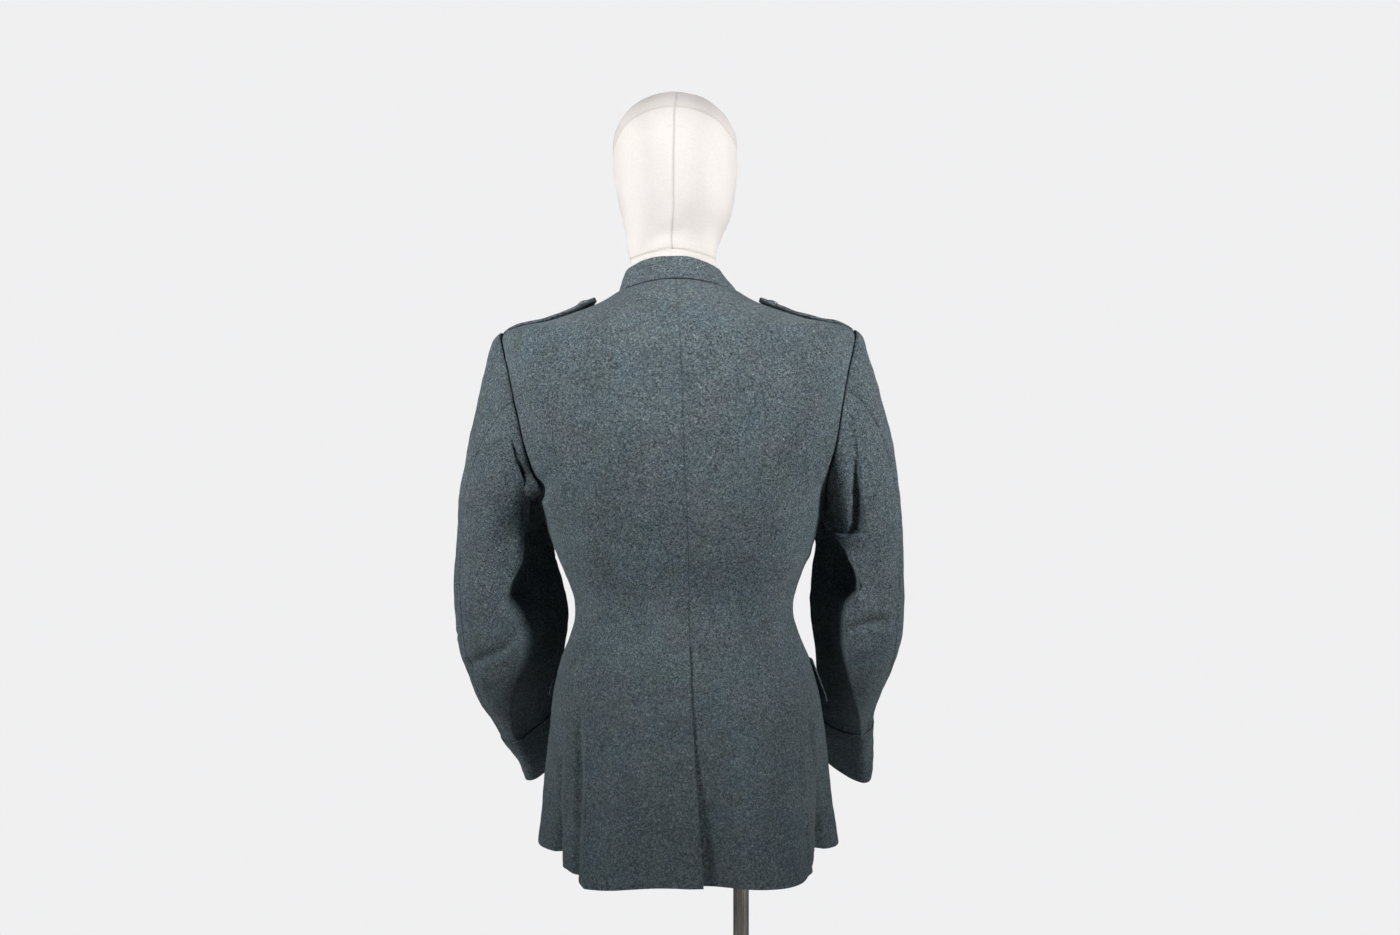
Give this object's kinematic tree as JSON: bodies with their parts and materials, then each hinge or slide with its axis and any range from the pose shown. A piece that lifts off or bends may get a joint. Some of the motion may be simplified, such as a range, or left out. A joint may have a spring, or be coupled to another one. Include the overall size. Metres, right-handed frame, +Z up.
{
  "type": "uniform jacket on a dress form",
  "caption": "Fitted field-grey wool uniform jacket with stand collar, shoulder straps, turned-back cuffs and a flared, vented skirt, on a cream limbless dress form with a steel pole stand.",
  "frame": {"origin": "centre of the stand base's underside, on the floor", "axes": "+Z up; the jacket's front faces -Y; the wearer's left is +X"},
  "size_m": [0.5759, 0.4, 1.764],
  "materials": {
    "field_grey_wool": "felted melange wool, matt",
    "cream_canvas": "tight plain-weave cover, matt",
    "dull_button_metal": "dull grey metal",
    "brushed_steel": "brushed"
  },
  "bodies": {
    "root": {"back_left": "field_grey_wool", "back_right": "field_grey_wool", "front_left": "field_grey_wool", "front_right": "field_grey_wool", "sleeve_left_upper": "field_grey_wool", "sleeve_left_under": "field_grey_wool", "sleeve_right_upper": "field_grey_wool", "sleeve_right_under": "field_grey_wool", "cuff_left": "field_grey_wool", "cuff_right": "field_grey_wool", "collar": "field_grey_wool", "shoulder_strap_left": "field_grey_wool", "shoulder_strap_right": "field_grey_wool", "pocket_flap_left": "field_grey_wool", "pocket_flap_right": "field_grey_wool", "front_button_1": "dull_button_metal", "front_button_2": "dull_button_metal", "front_button_3": "dull_button_metal", "front_button_4": "dull_button_metal", "front_button_5": "dull_button_metal", "front_button_6": "dull_button_metal", "strap_button_left": "dull_button_metal", "strap_button_right": "dull_button_metal", "form_torso": "cream_canvas", "form_head": "cream_canvas", "stand_base": "brushed_steel", "stand_boss": "brushed_steel", "stand_pole": "brushed_steel", "stand_socket": "brushed_steel"}
  },
  "joints": []
}
